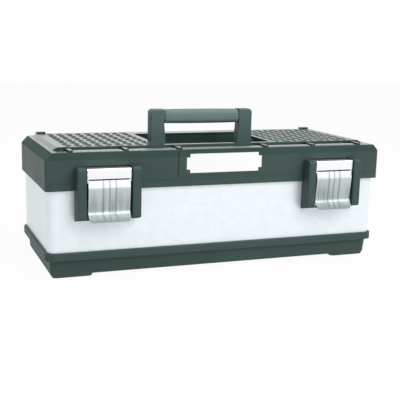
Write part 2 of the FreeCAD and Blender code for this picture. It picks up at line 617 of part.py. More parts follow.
for place in range(WEBS):
    web_x = minus(HALF_LENGTH, "sizes.web_end", "sizes.web_pitch * %d" % place)
    for side in ("-" + web_x, web_x):
        rectangle(webs, minus(side, "sizes.web_width / 2"), add(side, "sizes.web_width / 2"),
                  add("-(%s)" % HALF_DEPTH, "sizes.lid_wall"), add(TREAD_FRONT, "sizes.overcut"))
pad(lid, webs, "sizes.web_height")
lugs = sketch(lid, "XY_Plane", LID_TOP)
LUG_X = minus(HALF_LENGTH, "sizes.lug_inset")
for side in ("-" + LUG_X, LUG_X):
    rectangle(lugs, minus(side, "sizes.lug_length / 2"), add(side, "sizes.lug_length / 2"),
              minus(TREAD_REAR, "sizes.overcut"), minus(HALF_DEPTH, "sizes.lid_wall"))
pad(lid, lugs, "sizes.lug_height")
for start in RIM_KNUCKLES:
    gate = rectangle(sketch(lid, "XZ_Plane", "-" + minus(HALF_DEPTH, "sizes.lid_wall", "sizes.loose_gap")),
                     minus(start, "sizes.loose_gap"), add(start, "sizes.hinge_side", "sizes.loose_gap"),
                     minus(LID_LOW, "sizes.overcut"), add(KNUCKLE_TOP, "sizes.loose_gap"))
    pocket(lid, gate, add("sizes.lid_wall", "sizes.loose_gap", "sizes.overcut"))
for hinge in HINGES:
    start = minus(hinge, "sizes.hinge_knuckle / 2")
    barrel = circle(sketch(lid, "YZ_Plane", start), HINGE_Y, LID_LOW, "sizes.hinge_radius")
    pad(lid, barrel, "sizes.hinge_knuckle")
    arm = rectangle(sketch(lid, "YZ_Plane", start), minus(HALF_DEPTH, "sizes.lid_wall / 2"), HINGE_Y,
                    LID_LOW, KNUCKLE_TOP)
    pad(lid, arm, "sizes.hinge_knuckle")
bore(lid, HINGE_Y, LID_LOW, HINGE_BORE, "sizes.case_length")

# Name plate: a flat plate with notched corners, pressed into the seat on the lid.
plate = body("name_plate")
pad(plate, outline(sketch(plate, "XZ_Plane", minus(FRAME_FACE, "sizes.plate_sunk")), plate_corners(0)),
    "sizes.plate_gauge")

# Draw latches.  Heights, and distances out from the lid's face, are named once here: the
# lever turns on stub pins in the bracket's cheeks, the hook hangs on a pin below and in
# front of them, and its lip lies in the strike slot of the lid.
LEVER_Z = minus(HOOK_TOP, "sizes.hook_over")
HOOK_Z = minus(LEVER_Z, "sizes.lever_arm")
HOOK_OUT = add("sizes.pivot_out", "sizes.hook_lead")
LEVER_Y = "-" + add(HALF_DEPTH, "sizes.pivot_out")
HOOK_Y = "-" + add(HALF_DEPTH, HOOK_OUT)
LEVER_BORE = add("sizes.lever_pin", "sizes.running_gap")
HOOK_BORE = add("sizes.hook_pin", "sizes.running_gap")
WEB_TOP = add(HOOK_Z, "sizes.web_over")
LEVER_LOW = minus(WEB_TOP, "sizes.lever_length")
BRACKET_LOW = minus(LEVER_LOW, "sizes.cheek_under")
BRACKET_TOP = minus(LID_LOW, "sizes.lid_gap")
CHEEK_TOP = add(HOOK_TOP, "sizes.cheek_over")
STUB_IN = minus("sizes.lever_width / 2", "sizes.lever_gauge", "sizes.loose_gap")
STUB_OUT = add(CHEEK_IN, "sizes.cheek_width / 2")
RIVET_LEVELS = (add(BRACKET_LOW, "sizes.rivet_margin"), RIVET_TOP)
RIVET_X = "sizes.rivet_spread / 2"


def out(distance, up, bend=0):
    """A side-view corner at a distance in front of the lid's face."""
    return (-number(HALF_DEPTH) - distance, up, bend)


def latch_bracket(label, latch):
    """Moulded back plate with two cheeks, bored for the stub pins and drilled for rivets."""
    item = body(label)
    back = rectangle(sketch(item, "XZ_Plane", STEEL_Y), minus(latch, CHEEK_OUT),
                     add(latch, CHEEK_OUT), BRACKET_LOW, BRACKET_TOP)
    pad(item, back, "sizes.bracket_plate")
    behind = -number("sizes.steel_inset")
    proud = number("sizes.cheek_proud")
    bend = number("sizes.cheek_bend")
    low = number(BRACKET_LOW)
    clear = number("sizes.lid_gap")
    cheek = [out(behind, low), out(proud, low + number("sizes.cheek_toe"), bend),
             out(proud, number(CHEEK_TOP), bend), out(clear, number(CHEEK_TOP)),
             out(clear, number(BRACKET_TOP)), out(behind, number(BRACKET_TOP))]
    for start in (minus(latch, CHEEK_OUT), add(latch, CHEEK_IN)):
        pad(item, outline(sketch(item, "YZ_Plane", start), cheek), "sizes.cheek_width")
    front = -number(HALF_DEPTH) - proud
    fillet(item, "sizes.cheek_round",
           lambda middle, way, length: near(middle.y, front) and near(abs(way.z), 1))
    bore(item, LEVER_Y, LEVER_Z, LEVER_BORE, STUB_OUT + " * 2", latch)
    holes = sketch(item, "XZ_Plane", add(STEEL_Y, "sizes.bracket_plate", "sizes.overcut"))
    for level in RIVET_LEVELS:
        for side in (minus(latch, RIVET_X), add(latch, RIVET_X)):
            circle(holes, side, level, RIVET_HOLE)
    pocket(item, holes, "sizes.bracket_plate + sizes.overcut * 2")
    return item


gauge = number("sizes.lever_gauge")
pivot_out = number("sizes.pivot_out")
pivot_up = number(LEVER_Z)
hook_out = number(HOOK_OUT)
hook_up = number(HOOK_Z)
web_top = number(WEB_TOP)
web_start = hook_out + number("sizes.hook_pin + sizes.loose_gap") + gauge / 2
knee_out = web_start + number("sizes.knee_bow")
knee_up = web_top - number("sizes.knee_drop")
waist_out = web_start - number("sizes.waist_dip")
waist_up = number(LEVER_LOW) + number("sizes.waist_rise")
lever_web = [out(web_start, web_top), out(knee_out, knee_up, number("sizes.knee_bend")),
             out(waist_out, waist_up, number("sizes.waist_bend")),
             out(web_start + number("sizes.tip_flare"), number(LEVER_LOW))]
ear = number(LEVER_BORE) + number("sizes.ear_wall")
eye = number(HOOK_BORE) + number("sizes.ear_wall")
ear_bend = ear - number("sizes.close_gap")
lever_flange = [out(pivot_out - ear, pivot_up + ear, ear_bend),
                out(pivot_out + ear, pivot_up + ear, ear_bend),
                out(web_start - gauge / 2, web_top), out(knee_out, knee_up, number("sizes.knee_bend")),
                out((knee_out + waist_out) / 2, (knee_up + waist_up) / 2),
                out(knee_out - number("sizes.flange_back"), knee_up, number("sizes.knee_bend")),
                out(pivot_out - ear, hook_up + eye, number("sizes.knee_bend"))]


def latch_lever(label, latch):
    """Pressed lever: a curved web with a flared lip, two side flanges and three grooves."""
    item = body(label)
    pad(item, outline(sketch(item, "YZ_Plane", latch), strip(lever_web, -gauge / 2, gauge / 2)),
        "sizes.lever_width", both=True)
    tip_middle = number(LEVER_LOW)
    fillet(item, "sizes.tip_round",
           lambda middle, way, length: near(length, gauge) and near(middle.z, tip_middle))
    for start in (minus(latch, "sizes.lever_width / 2"),
                  add(latch, "sizes.lever_width / 2 - sizes.lever_gauge")):
        pad(item, outline(sketch(item, "YZ_Plane", start), lever_flange), "sizes.lever_gauge")
    across = "sizes.lever_width + sizes.overcut * 2"
    bore(item, LEVER_Y, LEVER_Z, LEVER_BORE, across, latch)
    bore(item, HOOK_Y, HOOK_Z, HOOK_BORE, across, latch)
    groove = strip(lever_web, -gauge / 2 - number("sizes.overcut"),
                   -gauge / 2 + number("sizes.bead_depth"))
    for step in (-1, 0, 1):
        place = add(latch, "sizes.bead_pitch * %d" % step)
        cutter = outline(sketch(item, "YZ_Plane", place), groove)
        pocket(item, cutter, "sizes.bead_width", both=True)
    return item


plate_out = web_start + number("sizes.loose_gap")
plate_low = web_top + number("sizes.hook_seam")
lip_up = number(HOOK_TOP) - gauge / 2
lip_end = gauge - number("sizes.slot_depth")
hook_sheet = [out(plate_out, plate_low), out(plate_out, lip_up, number("sizes.hook_bend")),
              out(lip_end, lip_up)]
neck_top = hook_up + number("sizes.hook_neck")
eye_bend = eye - number("sizes.close_gap")
hook_flange = [out(hook_out - eye, hook_up - eye, eye_bend), out(hook_out + eye, hook_up - eye, eye_bend),
               out(hook_out + eye, plate_low), out(plate_out, plate_low), out(plate_out, neck_top),
               out(hook_out, neck_top, eye), out(hook_out - eye, hook_up + eye, eye)]


def hook_plate(label, latch):
    """Sheet hook: a plate above the lever, a lip bent in to the slot and an eye at each side."""
    item = body(label)
    pad(item, outline(sketch(item, "YZ_Plane", latch), strip(hook_sheet, -gauge / 2, gauge / 2)),
        HOOK_HALF + " * 2", both=True)
    for start in (minus(latch, HOOK_HALF), add(latch, minus(HOOK_HALF, "sizes.lever_gauge"))):
        pad(item, outline(sketch(item, "YZ_Plane", start), hook_flange), "sizes.lever_gauge")
    bore(item, HOOK_Y, HOOK_Z, HOOK_BORE, add(HOOK_HALF, "sizes.overcut") + " * 2", latch)
    return item


ALONG_X = FreeCAD.Rotation(Vector(0, 1, 0), 90)
TO_FRONT = FreeCAD.Rotation(Vector(1, 0, 0), 90)
TO_BACK = FreeCAD.Rotation(Vector(1, 0, 0), -90)


def rod(label, radius, length, place, turn):
    """A plain round rod from its end's place along the turned axis."""
    item = doc.addObject("Part::Cylinder", label)
    item.Label = label
    item.Placement = FreeCAD.Placement(Vector(), turn)
    item.setExpression("Radius", radius)
    item.setExpression("Height", length)
    for axis, expression in zip("xyz", place):
        item.setExpression("Placement.Base." + axis, expression)
    return item


def group(label, members):
    """Separate solids that share one name."""
    item = doc.addObject("Part::Compound", label)
    item.Label = label
    item.Links = members
    return item


def rivet(place, grip, turn):
    """Flat-headed rivet: a head at the place, a shank through the grip and a closing head."""
    across, along, up = place
    inward = "-" if turn is TO_BACK else ""
    root = add(along, "%s(%s)" % (inward, grip))
    tail = add(along, "%s(%s)" % (inward, add(grip, "sizes.rivet_rise")))
    pieces = [rod("head", "sizes.rivet_head", "sizes.rivet_rise", place, turn),
              rod("shank", "sizes.rivet_shank", grip, (across, root, up), turn),
              rod("closing", "sizes.rivet_head", "sizes.rivet_rise", (across, tail, up), turn)]
    made = doc.addObject("Part::MultiFuse", "rivet")
    made.Shapes = pieces
    return made


nodes = [base, wall, rim, lid, plate]
HINGE_RUN = add("sizes.hinge_knuckle", "sizes.hinge_side * 2", "sizes.loose_gap * 2")
for side, latch, hinge in zip(("left", "right"), LATCHES, HINGES):
    nodes.append(latch_bracket("latch_bracket_" + side, latch))
    nodes.append(latch_lever("latch_lever_" + side, latch))
    nodes.append(hook_plate("hook_plate_" + side, latch))
    stubs = [rod("stub", "sizes.lever_pin", minus(STUB_OUT, STUB_IN), (start, LEVER_Y, LEVER_Z), ALONG_X)
             for start in (minus(latch, STUB_OUT), add(latch, STUB_IN))]
    nodes.append(group("lever_pins_" + side, stubs))
    nodes.append(rod("hook_pin_" + side, "sizes.hook_pin", HOOK_HALF + " * 2",
                     (minus(latch, HOOK_HALF), HOOK_Y, HOOK_Z), ALONG_X))
    rivets = []
    front_holes = sketch(wall, "XZ_Plane", add(STEEL_Y, "sizes.overcut"))
    for level in RIVET_LEVELS:
        for place in (minus(latch, RIVET_X), add(latch, RIVET_X)):
            circle(front_holes, place, level, RIVET_HOLE)
            rivets.append(rivet((place, "-" + add(STEEL_Y, "sizes.bracket_plate"), level),
                                add("sizes.bracket_plate", "sizes.steel_gauge"), TO_FRONT))
    pocket(wall, front_holes, "sizes.steel_gauge + sizes.overcut * 2")
    nodes.append(group("bracket_rivets_" + side, rivets))
    nodes.append(rod("hinge_pin_" + side, "sizes.hinge_pin", HINGE_RUN,
                     (minus(hinge, HINGE_RUN + " / 2"), HINGE_Y, LID_LOW), ALONG_X))
seam_face = add(STEEL_Y, "sizes.steel_gauge")
nodes.append(group("seam_rivets", [rivet(("0", seam_face, level), "sizes.steel_gauge * 2", TO_BACK)
                                   for level in seam_levels]))

# Handle: two moulded arms joined by a bar inside a soft grip.  Each arm turns on a pin held
# in the well's side boss, and the whole bail folds flat into the well.
GRIP_LOW = add(TREAD_TOP, "sizes.hand_room")
GRIP_TOP = add(GRIP_LOW, "sizes.grip_height")
GRIP_MIDDLE = add(GRIP_LOW, "sizes.grip_height / 2")
GRIP_X = minus(HANDLE_X, "sizes.arm_top")
CORE_LOW = minus(GRIP_MIDDLE, "sizes.core_height / 2")
CORE_TOP = add(GRIP_MIDDLE, "sizes.core_height / 2")
HALF_CORE = "sizes.core_thick / 2"
HALF_ARM = "sizes.handle_thick / 2"
handle = body("handle_frame")
arm_x = number(HANDLE_X)
grip_x = number(GRIP_X)
foot_x = arm_x - number("sizes.arm_low")
foot_z = number(HANDLE_Z) - number("sizes.arm_foot")
foot_bend = number("sizes.arm_round")
right_arm = [(grip_x, number(CORE_LOW), 0), (grip_x, number(GRIP_LOW), 0), (foot_x, foot_z, foot_bend),
             (arm_x, foot_z, foot_bend), (arm_x, number(GRIP_TOP), number("sizes.arm_shoulder"))]
bail = right_arm + [(-across, up, bend) for across, up, bend in right_arm[::-1]]
pad(handle, outline(sketch(handle, "XZ_Plane"), bail), "sizes.handle_thick", both=True)
arm_face = number(HALF_ARM)
fillet(handle, "sizes.handle_round", lambda middle, way, length: near(abs(middle.y), arm_face))
FLANK = add(HALF_ARM, "sizes.overcut")
for offset, reverse in ((FLANK, False), ("-" + FLANK, True)):
    flank = rectangle(sketch(handle, "XZ_Plane", offset), "-" + GRIP_X, GRIP_X,
                      minus(CORE_LOW, "sizes.overcut"), add(GRIP_TOP, "sizes.overcut"))
    pocket(handle, flank, minus(FLANK, HALF_CORE), reverse=reverse)
notch = rectangle(sketch(handle, "XZ_Plane"), "-" + GRIP_X, GRIP_X, CORE_TOP,
                  add(GRIP_TOP, "sizes.overcut"))
pocket(handle, notch, "sizes.handle_thick", both=True)
bore(handle, "0", HANDLE_Z, HANDLE_BORE, "sizes.handle_width + sizes.overcut * 2")
grip = body("handle_grip")
sleeve = rounded(sketch(grip, "YZ_Plane"), "-sizes.grip_thick / 2", "sizes.grip_thick / 2", GRIP_LOW,
                 GRIP_TOP, "sizes.grip_round")
pad(grip, sleeve, minus(GRIP_X, "sizes.close_gap") + " * 2", both=True)
core = rectangle(sketch(grip, "YZ_Plane"), "-" + add(HALF_CORE, "sizes.close_gap"),
                 add(HALF_CORE, "sizes.close_gap"), minus(CORE_LOW, "sizes.close_gap"),
                 add(CORE_TOP, "sizes.close_gap"))
pocket(grip, core, "sizes.handle_width", both=True)
nodes += [handle, grip]
PIN_START = minus(HANDLE_X, "sizes.pin_hold")
for side, start in (("left", "-" + PIN_END), ("right", PIN_START)):
    nodes.append(rod("handle_pin_" + side, "sizes.handle_pin", minus(PIN_END, PIN_START),
                     (start, "0", HANDLE_Z), ALONG_X))

# Tray: one moulding that hangs by its flange on the rim's ledge, with cross walls and a
# bridge to lift it by.
tray = body("tote_tray")
FLANGE_LOW = add(LEDGE_TOP, "sizes.close_gap")
FLANGE_TOP = add(FLANGE_LOW, "sizes.tray_wall")
FLANGE_GROW = minus(RIM_OPEN, "sizes.loose_gap")
TUB_X = minus(add(STEEL_X, FLANGE_GROW), "sizes.ledge_width")
TUB_Y = minus(add(STEEL_Y, FLANGE_GROW), "sizes.ledge_width")
flange = centred(sketch(tray, "XY_Plane", FLANGE_LOW), add(STEEL_X, FLANGE_GROW),
                 add(STEEL_Y, FLANGE_GROW), add("sizes.steel_bend", FLANGE_GROW))
pad(tray, flange, "sizes.tray_wall")
tub = centred(sketch(tray, "XY_Plane", FLANGE_LOW), TUB_X, TUB_Y,
              minus("sizes.ledge_width", "sizes.loose_gap"))
pad(tray, tub, "sizes.tray_drop", reverse=True)
CELL_X = minus(TUB_X, "sizes.tray_wall")
CELL_Y = minus(TUB_Y, "sizes.tray_wall")
HALF_WALL = "sizes.tray_wall / 2"
CROSS_X = "sizes.middle_cell / 2"
MIDDLE_X = minus(CROSS_X, HALF_WALL)
SIDE_X = add(CROSS_X, HALF_WALL)
cells = sketch(tray, "XY_Plane", FLANGE_TOP)
for left, right in (("-" + CELL_X, "-" + SIDE_X), ("-" + MIDDLE_X, MIDDLE_X), (SIDE_X, CELL_X)):
    for low, high in (("-" + CELL_Y, "-" + HALF_WALL), (HALF_WALL, CELL_Y)):
        rectangle(cells, left, right, low, high)
pocket(tray, cells, "sizes.tray_drop")
BRIDGE_TOP = add(FLANGE_TOP, "sizes.bridge_height")
bridge = rectangle(sketch(tray, "XZ_Plane"), "-sizes.bridge_length / 2", "sizes.bridge_length / 2",
                   FLANGE_LOW, BRIDGE_TOP)
pad(tray, bridge, "sizes.bridge_thick", both=True)
hand_slot = rounded(sketch(tray, "XZ_Plane"), "-sizes.bridge_slot / 2", "sizes.bridge_slot / 2",
                    FLANGE_TOP, minus(BRIDGE_TOP, "sizes.bridge_rail"), "sizes.bridge_round")
pocket(tray, hand_slot, "sizes.bridge_thick + sizes.overcut * 2", both=True)
nodes.append(tray)

doc.recompute()
faults = [item.Name for item in doc.Objects if "Invalid" in item.State or "Error" in item.State]
faults += [node.Label for node in nodes if node.Shape.isNull() or not node.Shape.isValid()]
if faults:
    raise RuntimeError("pieces that failed: " + ", ".join(faults))
front = min(node.Shape.BoundBox.YMin for node in nodes)
back = max(node.Shape.BoundBox.YMax for node in nodes)
# The levers stand out further than the hinges, so the origin is set under the middle of both.
to_middle = Vector(0, -(front + back) / 2, 0)
os.makedirs("parts", exist_ok=True)
for node in nodes:
    placed = node.Shape.translated(to_middle)
    placed.exportStep("parts/%s.step" % node.Label)
    print(node.Label, len(placed.Solids), round(placed.Volume), placed.BoundBox)
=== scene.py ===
import bpy
import numpy as np
from mathutils import Matrix, Vector


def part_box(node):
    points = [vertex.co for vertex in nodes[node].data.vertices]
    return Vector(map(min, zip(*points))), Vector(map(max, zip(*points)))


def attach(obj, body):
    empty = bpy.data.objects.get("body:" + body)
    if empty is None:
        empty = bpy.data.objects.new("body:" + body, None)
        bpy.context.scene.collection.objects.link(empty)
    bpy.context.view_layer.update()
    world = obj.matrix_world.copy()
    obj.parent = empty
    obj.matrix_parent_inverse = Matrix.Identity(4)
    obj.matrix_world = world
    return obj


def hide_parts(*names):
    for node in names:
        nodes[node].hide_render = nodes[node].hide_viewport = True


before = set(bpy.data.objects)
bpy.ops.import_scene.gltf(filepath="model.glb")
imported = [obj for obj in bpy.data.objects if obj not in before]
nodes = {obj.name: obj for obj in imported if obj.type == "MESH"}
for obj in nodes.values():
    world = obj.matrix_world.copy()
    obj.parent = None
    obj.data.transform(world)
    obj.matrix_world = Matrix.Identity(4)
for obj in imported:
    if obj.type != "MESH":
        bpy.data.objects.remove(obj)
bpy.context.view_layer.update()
scene = bpy.context.scene


# Base tray: one injection moulding in charcoal polypropylene with a teal cast.
# Its wide lip grips the steel, and its four corner feet are scuffed where it stands.
def plain_material(name):
    """An empty node material with its shader, output and object coordinates."""
    made = bpy.data.materials.new(name)
    made.use_nodes = True
    tree = made.node_tree
    tree.nodes.clear()
    output = tree.nodes.new("ShaderNodeOutputMaterial")
    shader = tree.nodes.new("ShaderNodeBsdfPrincipled")
    place = tree.nodes.new("ShaderNodeTexCoord")
    tree.links.new(shader.outputs["BSDF"], output.inputs["Surface"])
    return made, tree, shader, place.outputs["Object"]


def stretched(tree, place, along):
    """Object coordinates scaled by one factor for each axis, so that a pattern runs long one way."""
    mapping = tree.nodes.new("ShaderNodeMapping")
    mapping.inputs["Scale"].default_value = along
    tree.links.new(place, mapping.inputs["Vector"])
    return mapping.outputs["Vector"]


def cloud(tree, place, scale, detail=3.0, rough=0.5):
    """Fractal noise at so many features a metre."""
    noise = tree.nodes.new("ShaderNodeTexNoise")
    noise.inputs["Scale"].default_value = scale
    noise.inputs["Detail"].default_value = detail
    noise.inputs["Roughness"].default_value = rough
    tree.links.new(place, noise.inputs["Vector"])
    return noise.outputs["Fac"]


def remap(tree, value, low, high, to_low, to_high):
    """A value's band low to high stretched onto the band to_low to to_high, clamped outside it."""
    band = tree.nodes.new("ShaderNodeMapRange")
    for socket, number in zip(("From Min", "From Max", "To Min", "To Max"), (low, high, to_low, to_high)):
        band.inputs[socket].default_value = number
    tree.links.new(value, band.inputs["Value"])
    return band.outputs["Result"]


def combine(tree, operation, first, second):
    """Two values, or a value and a number, put together by one arithmetic operation."""
    made = tree.nodes.new("ShaderNodeMath")
    made.operation = operation
    for socket, term in zip(made.inputs, (first, second)):
        if isinstance(term, (int, float)):
            socket.default_value = term
        else:
            tree.links.new(term, socket)
    return made.outputs["Value"]


def blend_colours(tree, share, first, second):
    """One colour where the share is 0, the other where it is 1."""
    mix = tree.nodes.new("ShaderNodeMix")
    mix.data_type = "RGBA"
    tree.links.new(share, mix.inputs["Factor"])
    for socket, colour in zip((mix.inputs[6], mix.inputs[7]), (first, second)):
        if isinstance(colour, tuple):
            socket.default_value = colour + (1.0,)
        else:
            tree.links.new(colour, socket)
    return mix.outputs[2]


def dent(tree, shader, height, depth, strength):
    """Bump the shader's normal by a height field that is depth metres deep."""
    bump = tree.nodes.new("ShaderNodeBump")
    bump.inputs["Strength"].default_value = strength
    bump.inputs["Distance"].default_value = depth
    tree.links.new(height, bump.inputs["Height"])
    tree.links.new(bump.outputs["Normal"], shader.inputs["Normal"])


def height_of(tree, place):
    """The height above the floor at each point, from the object coordinates."""
    parts = tree.nodes.new("ShaderNodeSeparateXYZ")
    tree.links.new(place, parts.inputs["Vector"])
    return parts.outputs["Z"]


def moulded_plastic(name, dark, light, scuffed, gloss, grain_depth, worn=None, polished=None):
    """Spark-grained plastic: slow flow marks between two tones, fine pits, and thin pale scuffs.
    Worn is the height at which the floor's scuffs begin and the lower one at which they are full.
    Polished is the height above which the grain is worn smooth, the lower height above which it is
    coarser, and the two roughnesses."""
    made, tree, shader, place = plain_material(name)
    flow = cloud(tree, stretched(tree, place, (0.6, 1.0, 1.6)), 11.0, 4.0, 0.6)
    grain = cloud(tree, place, 1500.0, 2.0, 0.6)
    rubs = cloud(tree, stretched(tree, place, (0.25, 1.0, 2.6)), 130.0, 6.0, 0.7)
    patches = cloud(tree, place, 7.0, 2.0)
    rub_share = combine(tree, "MULTIPLY", remap(tree, rubs, 0.60, 0.74, 0.0, 1.0),
                        remap(tree, patches, 0.45, 0.70, 0.0, 0.5))
    if worn:
        clean_height, worn_height = worn
        near_floor = remap(tree, height_of(tree, place), clean_height, worn_height, 0.0, 1.0)
        edge_rubs = combine(tree, "MULTIPLY", near_floor, remap(tree, rubs, 0.50, 0.66, 0.0, 0.7))
        rub_share = combine(tree, "MAXIMUM", rub_share, edge_rubs)
    body = blend_colours(tree, remap(tree, flow, 0.32, 0.68, 0.0, 1.0), dark, light)
    speckled = blend_colours(tree, remap(tree, grain, 0.35, 0.75, 0.0, 0.30), body, light)
    tree.links.new(blend_colours(tree, rub_share, speckled, scuffed), shader.inputs["Base Color"])
    uneven = combine(tree, "ADD", remap(tree, flow, 0.3, 0.7, gloss - 0.05, gloss + 0.05),
                     combine(tree, "MULTIPLY", rub_share, 0.18))
    relief = grain
    if polished:
        rubbed_from, coarse_from, wear_and_painted_light, coarse = polished
        height = height_of(tree, place)
        fade = 0.0005
        smooth = remap(tree, height, rubbed_from - 0.0008, rubbed_from - 0.0003, 1.0, 0.0)
        coarser = remap(tree, height, coarse_from - fade, coarse_from + fade, 0.0, coarse - gloss)
        grained = combine(tree, "MULTIPLY", combine(tree, "ADD", uneven, coarser), smooth)
        uneven = combine(tree, "ADD", grained, remap(tree, smooth, 0.0, 1.0, wear_and_painted_light, 0.0))
        relief = combine(tree, "MULTIPLY", grain, remap(tree, smooth, 0.0, 1.0, 0.35, 1.0))
    tree.links.new(uneven, shader.inputs["Roughness"])
    shader.inputs["IOR"].default_value = 1.42
    dent(tree, shader, relief, grain_depth, 0.35)
    return made


def dress(node, material):
    """Give a carried-over node one material in every slot."""
    mesh = nodes[node].data
    mesh.materials.clear()
    mesh.materials.append(material)


charcoal_dark, charcoal_light = (0.024, 0.052, 0.046), (0.036, 0.068, 0.061)
charcoal = moulded_plastic("charcoal_moulding", charcoal_dark, charcoal_light, (0.13, 0.17, 0.16),
                           gloss=0.56, grain_depth=0.00006, worn=(0.010, 0.001))
dress("base_tray", charcoal)

# Wall: a hot-dip galvanised sheet bent round the four corners and lapped at the back.
# The zinc has faint crystal spangle and fine rolling lines along the sheet.
galvanised, tree, shader, place = plain_material("galvanised_sheet")
spangle = tree.nodes.new("ShaderNodeTexVoronoi")
spangle.inputs["Scale"].default_value = 95.0
spangle.inputs["Randomness"].default_value = 1.0
tree.links.new(place, spangle.inputs["Vector"])
crystal = tree.nodes.new("ShaderNodeSeparateColor")
tree.links.new(spangle.outputs["Color"], crystal.inputs["Color"])
rolled = cloud(tree, stretched(tree, place, (0.03, 0.03, 1.0)), 900.0, 3.0, 0.6)
smears = cloud(tree, stretched(tree, place, (1.0, 1.0, 0.5)), 9.0, 4.0, 0.6)
zinc_dark, zinc_light, smeared_zinc = (0.82, 0.885, 0.925), (0.87, 0.925, 0.955), (0.76, 0.83, 0.88)
zinc = blend_colours(tree, crystal.outputs["Red"], zinc_dark, zinc_light)
smear_share = remap(tree, smears, 0.45, 0.80, 0.0, 0.22)
tree.links.new(blend_colours(tree, smear_share, zinc, smeared_zinc), shader.inputs["Base Color"])
zinc_rough = combine(tree, "ADD", remap(tree, crystal.outputs["Green"], 0.0, 1.0, 0.29, 0.36),
                     remap(tree, smears, 0.4, 0.8, 0.0, 0.08))
tree.links.new(zinc_rough, shader.inputs["Roughness"])
shader.inputs["Metallic"].default_value = 0.45
dent(tree, shader, rolled, 0.00003, 0.15)
dress("steel_wall", galvanised)


def plated_steel(name, tone, shade, streak_axis, gloss, painted_bead_shade=None, wear_and_painted_light=None):
    """Bright zinc plating over pressed steel, with fine draw lines along one axis and a soft haze between
    the tone and the shade; where the draw lines run one way, as down the levers and hook plates, the haze is
    stretched into streaks that are painted reflections.
    The bead argument gives the middle, the pitch and the width of three pressed beads whose hollows are
    darkened with painted shade.
    The last argument gives two heights between which the plating turns brighter, a painted highlight, and
    its tone there, and likewise two heights and a darker tone for a painted shade on the lower end.  The
    haze runs the same way as the draw lines."""
    made, tree, shader, place = plain_material(name)
    lines = cloud(tree, stretched(tree, place, streak_axis), 1100.0, 4.0, 0.65)
    haze_run = tuple(max(share, 0.10) for share in streak_axis)
    haze_and_painted_streaks = cloud(tree, stretched(tree, place, haze_run), 95.0, 4.0, 0.6)
    # The haze blends tone and shade; stretched down the levers and hook plates, it paints streaky
    # reflections into the colour.
    plating = blend_colours(tree, remap(tree, haze_and_painted_streaks, 0.35, 0.75, 0.0, 1.0), tone, shade)
    # Painted light: between two heights the plating turns to a brighter tone, a painted highlight, and
    # towards the bottom to a darker one, a painted shade.
    if wear_and_painted_light:
        bright_from, bright_full, painted_highlight_tone, dull_from, dull_full, painted_shade_tone = wear_and_painted_light
        height = height_of(tree, place)
        bright_share = remap(tree, height, bright_from, bright_full, 0.0, 0.8)
        dull_share = remap(tree, height, dull_from, dull_full, 0.0, 0.8)
        plating = blend_colours(tree, bright_share, plating, painted_highlight_tone)
        plating = blend_colours(tree, dull_share, plating, painted_shade_tone)
    # Painted shade: the hollows of the three pressed beads are darkened.
    if painted_bead_shade:
        middle, pitch, width = painted_bead_shade
        parts = tree.nodes.new("ShaderNodeSeparateXYZ")
        tree.links.new(place, parts.inputs["Vector"])
        aside = combine(tree, "SUBTRACT", combine(tree, "ABSOLUTE", parts.outputs["X"], 0.0), middle)
        aside = combine(tree, "ABSOLUTE", aside, 0.0)
        from_bead = combine(tree, "PINGPONG", aside, pitch / 2)
        in_bead = remap(tree, from_bead, width * 0.25, width * 0.55, 0.55, 0.0)
        three_beads = remap(tree, aside, pitch * 1.2, pitch * 1.3, 1.0, 0.0)
        bead_shade_tone = (0.17, 0.20, 0.20)
        plating = blend_colours(tree, combine(tree, "MULTIPLY", in_bead, three_beads), plating, bead_shade_tone)
    tree.links.new(plating, shader.inputs["Base Color"])
    drawn = remap(tree, lines, 0.3, 0.7, gloss - 0.03, gloss + 0.04)
    hazed = remap(tree, haze_and_painted_streaks, 0.5, 0.8, 0.0, 0.08)
    tree.links.new(combine(tree, "ADD", drawn, hazed), shader.inputs["Roughness"])
    shader.inputs["Metallic"].default_value = 0.85
    dent(tree, shader, lines, 0.00001, 0.12)
    return made


all_ways = (1.0, 1.0, 1.0)
fastener_steel = plated_steel("fastener_steel", (0.70, 0.71, 0.72), (0.56, 0.58, 0.60), all_ways, gloss=0.32)
dress("seam_rivets", fastener_steel)

# Rim: a moulded ring in the base's plastic, pushed over the steel's top edge.
# Steel pins through its rear knuckles carry the lid.
dress("rim_frame", charcoal)
dress("hinge_pin_left", fastener_steel)
dress("hinge_pin_right", fastener_steel)

# Lid: the largest moulding, in the same charcoal plastic, coarser on its bevels and rubbed smooth on top.
# Its tread panel carries raised lozenges set slantwise, in two leaning directions by turns.
ledge_level, bevel_foot, tread_level = 0.226, 0.2125, 0.231
rubbed_gloss, bevel_gloss = 0.20, 0.85
lid_plastic = moulded_plastic("lid_moulding", charcoal_dark, charcoal_light, (0.14, 0.17, 0.16),
                              gloss=0.54, grain_depth=0.00005,
                              polished=(ledge_level, bevel_foot, rubbed_gloss, bevel_gloss))
dress("lid_shell", lid_plastic)
handle_low, handle_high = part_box("handle_frame")
lid_middle = (handle_low.y + handle_high.y) / 2


